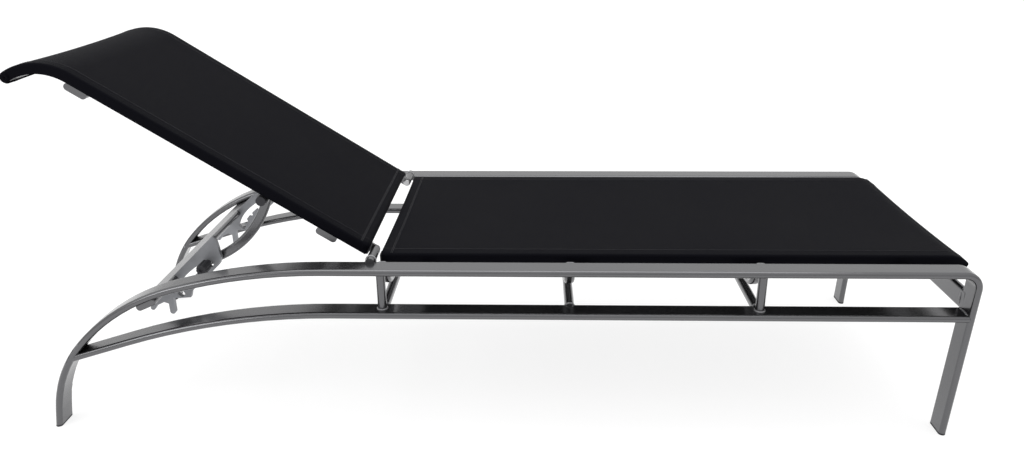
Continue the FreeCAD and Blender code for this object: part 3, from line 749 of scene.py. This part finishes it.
class LOUNGER_OT_welds(bpy.types.Operator):
    """Run weld beads round the joints of the base"""
    bl_idname = "lounger.welds"
    bl_label = "Welds"

    def execute(self, context):
        trim = context.scene.lounger_trim
        tree = tree_along_lines("weld_ripples", "weld_bead", bead_shape, False)
        mesh = tree.bake("weld_beads", lines_mesh("weld_lines", weld_lines()),
                         {"Pitch": trim.bead_pitch, "Radius": trim.bead_radius})
        new_piece("weld_beads", mesh, "weld_bead", "base")
        return {"FINISHED"}


# ---- screws -----------------------------------------------------------------------------
def screw_head(bm, origin, out, radius):
    """Adds a button head with a hexagon socket."""
    socket = radius * 0.42
    profile = ((0.0, 0.0), (0.0, radius), (radius * 0.2, radius), (radius * 0.42, radius * 0.86),
               (radius * 0.54, radius * 0.6), (radius * 0.55, socket), (radius * 0.16, socket),
               (radius * 0.12, 0.0))
    turned_on(bm, profile, origin, out, ALONG if abs(out.x) < 0.5 else UP, 24)


def screw_places(thick):
    """Undersides of the seat brackets, at the upper rail and at the sling rail."""
    places = []
    for side, sign in SIDES:
        low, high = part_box(side + "_seat_rail")
        for i in range(1, 5):
            bracket = side + "_seat_bracket_%d" % i
            base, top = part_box(bracket)[0][2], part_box(bracket)[1][2]
            outer = max(abs(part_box(bracket)[0][1]), abs(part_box(bracket)[1][1])) - SCREW_INSET
            x = centre(bracket).x
            places.append(Vector((x, sign * outer, top - thick)))
            places.append(Vector((x, (low[1] + high[1]) / 2, base)))
    return places


class LOUNGER_OT_screws(bpy.types.Operator):
    """Put screws under the seat brackets"""
    bl_idname = "lounger.screws"
    bl_label = "Screws"

    def execute(self, context):
        trim = context.scene.lounger_trim
        bm = bmesh.new()
        for place in screw_places(trim.bracket_thick):
            screw_head(bm, place, -UP, trim.screw_radius)
        new_piece("bracket_screws", bm_mesh("bracket_screws", bm), "plated_steel", "base")
        return {"FINISHED"}


# ---- end caps -------------------------------------------------------------------------------
class LOUNGER_OT_caps(bpy.types.Operator):
    """Plug the open ends of the sling rails and of the rack bar"""
    bl_idname = "lounger.caps"
    bl_label = "End caps"

    def plug_rack_bar(self, bm, trim):
        """Caps on the flat-oval bar, which leans as the rails above it do."""
        across, up = trim.rack_bar_width, trim.rack_bar_thick
        lean = Matrix.Rotation(-trim.rack_bar_slope, 4, "Y")
        for _, sign in SIDES:
            end = centre("rack_bar") + ACROSS * sign * size("rack_bar").y / 2
            plug(bm, end, ACROSS * sign, lean @ UP, across, up, up / 2 - 0.0004, trim.cap_depth)

    def execute(self, context):
        trim, back = context.scene.lounger_trim, context.scene.lounger_back
        slings = context.scene.lounger_sling
        wide, bar = size("right_seat_rail").y, size("back_head_bar").z
        start, _, fall = seat_line(slings)
        end, end_up = fall(1.0)
        bm, back_bm = bmesh.new(), bmesh.new()
        along, up = back_axes(back)
        for side, sign in SIDES:
            seat_y = ACROSS * centre(side + "_seat_rail").y
            back_y = ACROSS * centre(side + "_back_rail").y
            for place, out, rise in ((start, -ALONG, UP), (end, ACROSS.cross(end_up), end_up)):
                plug(bm, place + seat_y, out, rise, wide, slings.seat_rail, RAIL_CORNER, trim.cap_depth)
            place = HINGE + along * back.start + back_y
            plug(back_bm, place, -along, up, wide, bar, RAIL_CORNER, trim.cap_depth)
        bar_bm = bmesh.new()
        self.plug_rack_bar(bar_bm, trim)
        new_piece("rack_bar_ends", bm_mesh("rack_bar_ends", bar_bm), "pewter_tube", "base")
        for name, caps, body in (("seat_rail_caps", bm, "base"), ("back_rail_caps", back_bm, "backrest")):
            new_piece(name, bm_mesh(name, caps), "black_nylon", body)
        return {"FINISHED"}


# ---- prop knobs -----------------------------------------------------------------------------
class LOUNGER_OT_knobs(bpy.types.Operator):
    """Turn the fluted knobs on the prop's pins"""
    bl_idname = "lounger.knobs"
    bl_label = "Prop knobs"

    def execute(self, context):
        trim = context.scene.lounger_trim
        for side, sign in SIDES:
            node = side + "_prop_knob"
            low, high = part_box(node)
            radius, depth = (high[0] - low[0]) / 2, high[1] - low[1]
            origin = Vector((centre(node).x, high[1] if sign < 0 else low[1], centre(node).z))
            profile = ((0.0, 0.0), (0.0, radius * 0.62), (depth * 0.12, radius * 0.72),
                       (depth * 0.2, radius * 0.96), (depth * 0.3, radius), (depth * 0.82, radius),
                       (depth * 0.94, radius * 0.93), (depth, radius * 0.78), (depth, radius * 0.34),
                       (depth * 0.93, radius * 0.3), (depth * 0.93, 0.0))

            def fluted(turn, r):
                hollow = trim.flute_depth * max(0.0, cos(trim.knob_flutes * turn)) ** 0.8
                return r - hollow * (1.0 if r > radius * 0.8 else 0.0)

            bm = bmesh.new()
            turned_on(bm, profile, origin, ACROSS * sign, UP, 90, fluted)
            knob = new_piece(node + "_fluted", bm_mesh(node, bm), "black_nylon", "prop")
            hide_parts(node)
        return {"FINISHED"}


# ---- studio -----------------------------------------------------------------------------------
def soft_light(name, place, target, width, height, power):
    data = bpy.data.lights.new(name, "AREA")
    data.shape = "RECTANGLE"
    data.size, data.size_y, data.energy = width, height, power
    light = bpy.data.objects.new(name, data)
    bpy.context.scene.collection.objects.link(light)
    light.location = place
    light.rotation_euler = (Vector(target) - Vector(place)).to_track_quat("-Z", "Y").to_euler()


def sky_gradient(tree):
    """Studio dome: pale at the horizon, dimmest a little above it, and bright overhead."""
    place = tree.nodes.new("ShaderNodeTexCoord")
    split = tree.nodes.new("ShaderNodeSeparateXYZ")
    ramp = tree.nodes.new("ShaderNodeValToRGB")
    tree.links.new(place.outputs["Generated"], split.inputs[0])
    tree.links.new(split.outputs["Z"], ramp.inputs[0])
    tree.links.new(ramp.outputs[0], tree.nodes["Background"].inputs[0])
    stops = ((0.0, 0.9), (0.08, 0.55), (0.35, 0.85), (1.0, 1.0))
    while len(ramp.color_ramp.elements) < len(stops):
        ramp.color_ramp.elements.new(0.5)
    for element, (height, level) in zip(ramp.color_ramp.elements, stops):
        element.position = height
        element.color = (level, level, level, 1)
    tree.nodes["Background"].inputs[1].default_value = 1.15


class LOUNGER_OT_stage(bpy.types.Operator):
    """Lay the floor, hang the lights and place the camera"""
    bl_idname = "lounger.stage"
    bl_label = "Studio"

    def execute(self, context):
        scene, colours, settings = context.scene, context.scene.lounger_colours, context.scene.lounger_camera
        floor = bpy.data.meshes.new("studio_floor")
        corners = [(x * FLOOR_REACH, y * FLOOR_REACH, 0) for x, y in ((-1, -1), (1, -1), (1, 1), (-1, 1))]
        floor.from_pydata(corners, [], [(0, 1, 2, 3)])
        paper = bpy.data.objects.new("studio_floor", floor)
        scene.collection.objects.link(paper)
        finish = Finish("studio_paper")
        finish.set(Base_Color=(*scaled(colours.floor, 0.3), 1), Roughness=0.9,
                   Emission_Color=(*colours.floor, 1), Emission_Strength=0.85)
        floor.materials.append(finish.material)
        world = bpy.data.worlds.new("studio")
        world.use_nodes = True
        sky_gradient(world.node_tree)
        scene.world = world
        scene.view_settings.view_transform = "Standard"
        soft_light("top_softbox", (0.0, 0.2, 3.2), (0, 0, 0.3), 3.4, 2.2, 35)
        soft_light("side_softbox", (-2.6, -2.2, 1.9), (-0.2, 0, 0.35), 1.6, 1.2, 20)
        data = bpy.data.cameras.new("camera")
        data.sensor_width, data.lens = 36.0, settings.lens
        data.clip_start, data.clip_end = 0.05, 60.0
        camera = bpy.data.objects.new("camera", data)
        scene.collection.objects.link(camera)
        turn = (Matrix.Rotation(settings.yaw, 4, "Z") @ Matrix.Rotation(-settings.pitch, 4, "X")
                @ Matrix.Rotation(settings.roll, 4, "Y") @ Matrix.Rotation(pi / 2, 4, "X"))
        camera.matrix_world = Matrix.Translation(settings.place) @ turn
        scene.camera = camera
        return {"FINISHED"}


class LOUNGER_PT_panel(bpy.types.Panel):
    """Lists the lounger's pieces, sizes and colours"""
    bl_label = "Sun lounger"
    bl_idname = "LOUNGER_PT_panel"
    bl_space_type = "VIEW_3D"
    bl_region_type = "UI"
    bl_category = "Lounger"

    def draw(self, context):
        for operator in OPERATORS:
            self.layout.operator(operator.bl_idname)
        for group, kind in PROPERTY_GROUPS.items():
            box = self.layout.box()
            for key in kind.__annotations__:
                box.prop(getattr(context.scene, group), key)


OPERATORS = (LOUNGER_OT_stage, LOUNGER_OT_finishes, LOUNGER_OT_seat_sling, LOUNGER_OT_back_sling,
             LOUNGER_OT_welds, LOUNGER_OT_screws, LOUNGER_OT_caps, LOUNGER_OT_knobs)


def register():
    for kind in (*PROPERTY_GROUPS.values(), *OPERATORS, LOUNGER_PT_panel):
        bpy.utils.register_class(kind)
    for name, kind in PROPERTY_GROUPS.items():
        setattr(bpy.types.Scene, name, bpy.props.PointerProperty(type=kind))


def unregister():
    for name in PROPERTY_GROUPS:
        delattr(bpy.types.Scene, name)
    for kind in reversed((*PROPERTY_GROUPS.values(), *OPERATORS, LOUNGER_PT_panel)):
        bpy.utils.unregister_class(kind)


def main():
    register()
    for operator in OPERATORS:
        group, name = operator.bl_idname.split(".")
        getattr(getattr(bpy.ops, group), name)()


if __name__ == "__main__":
    main()
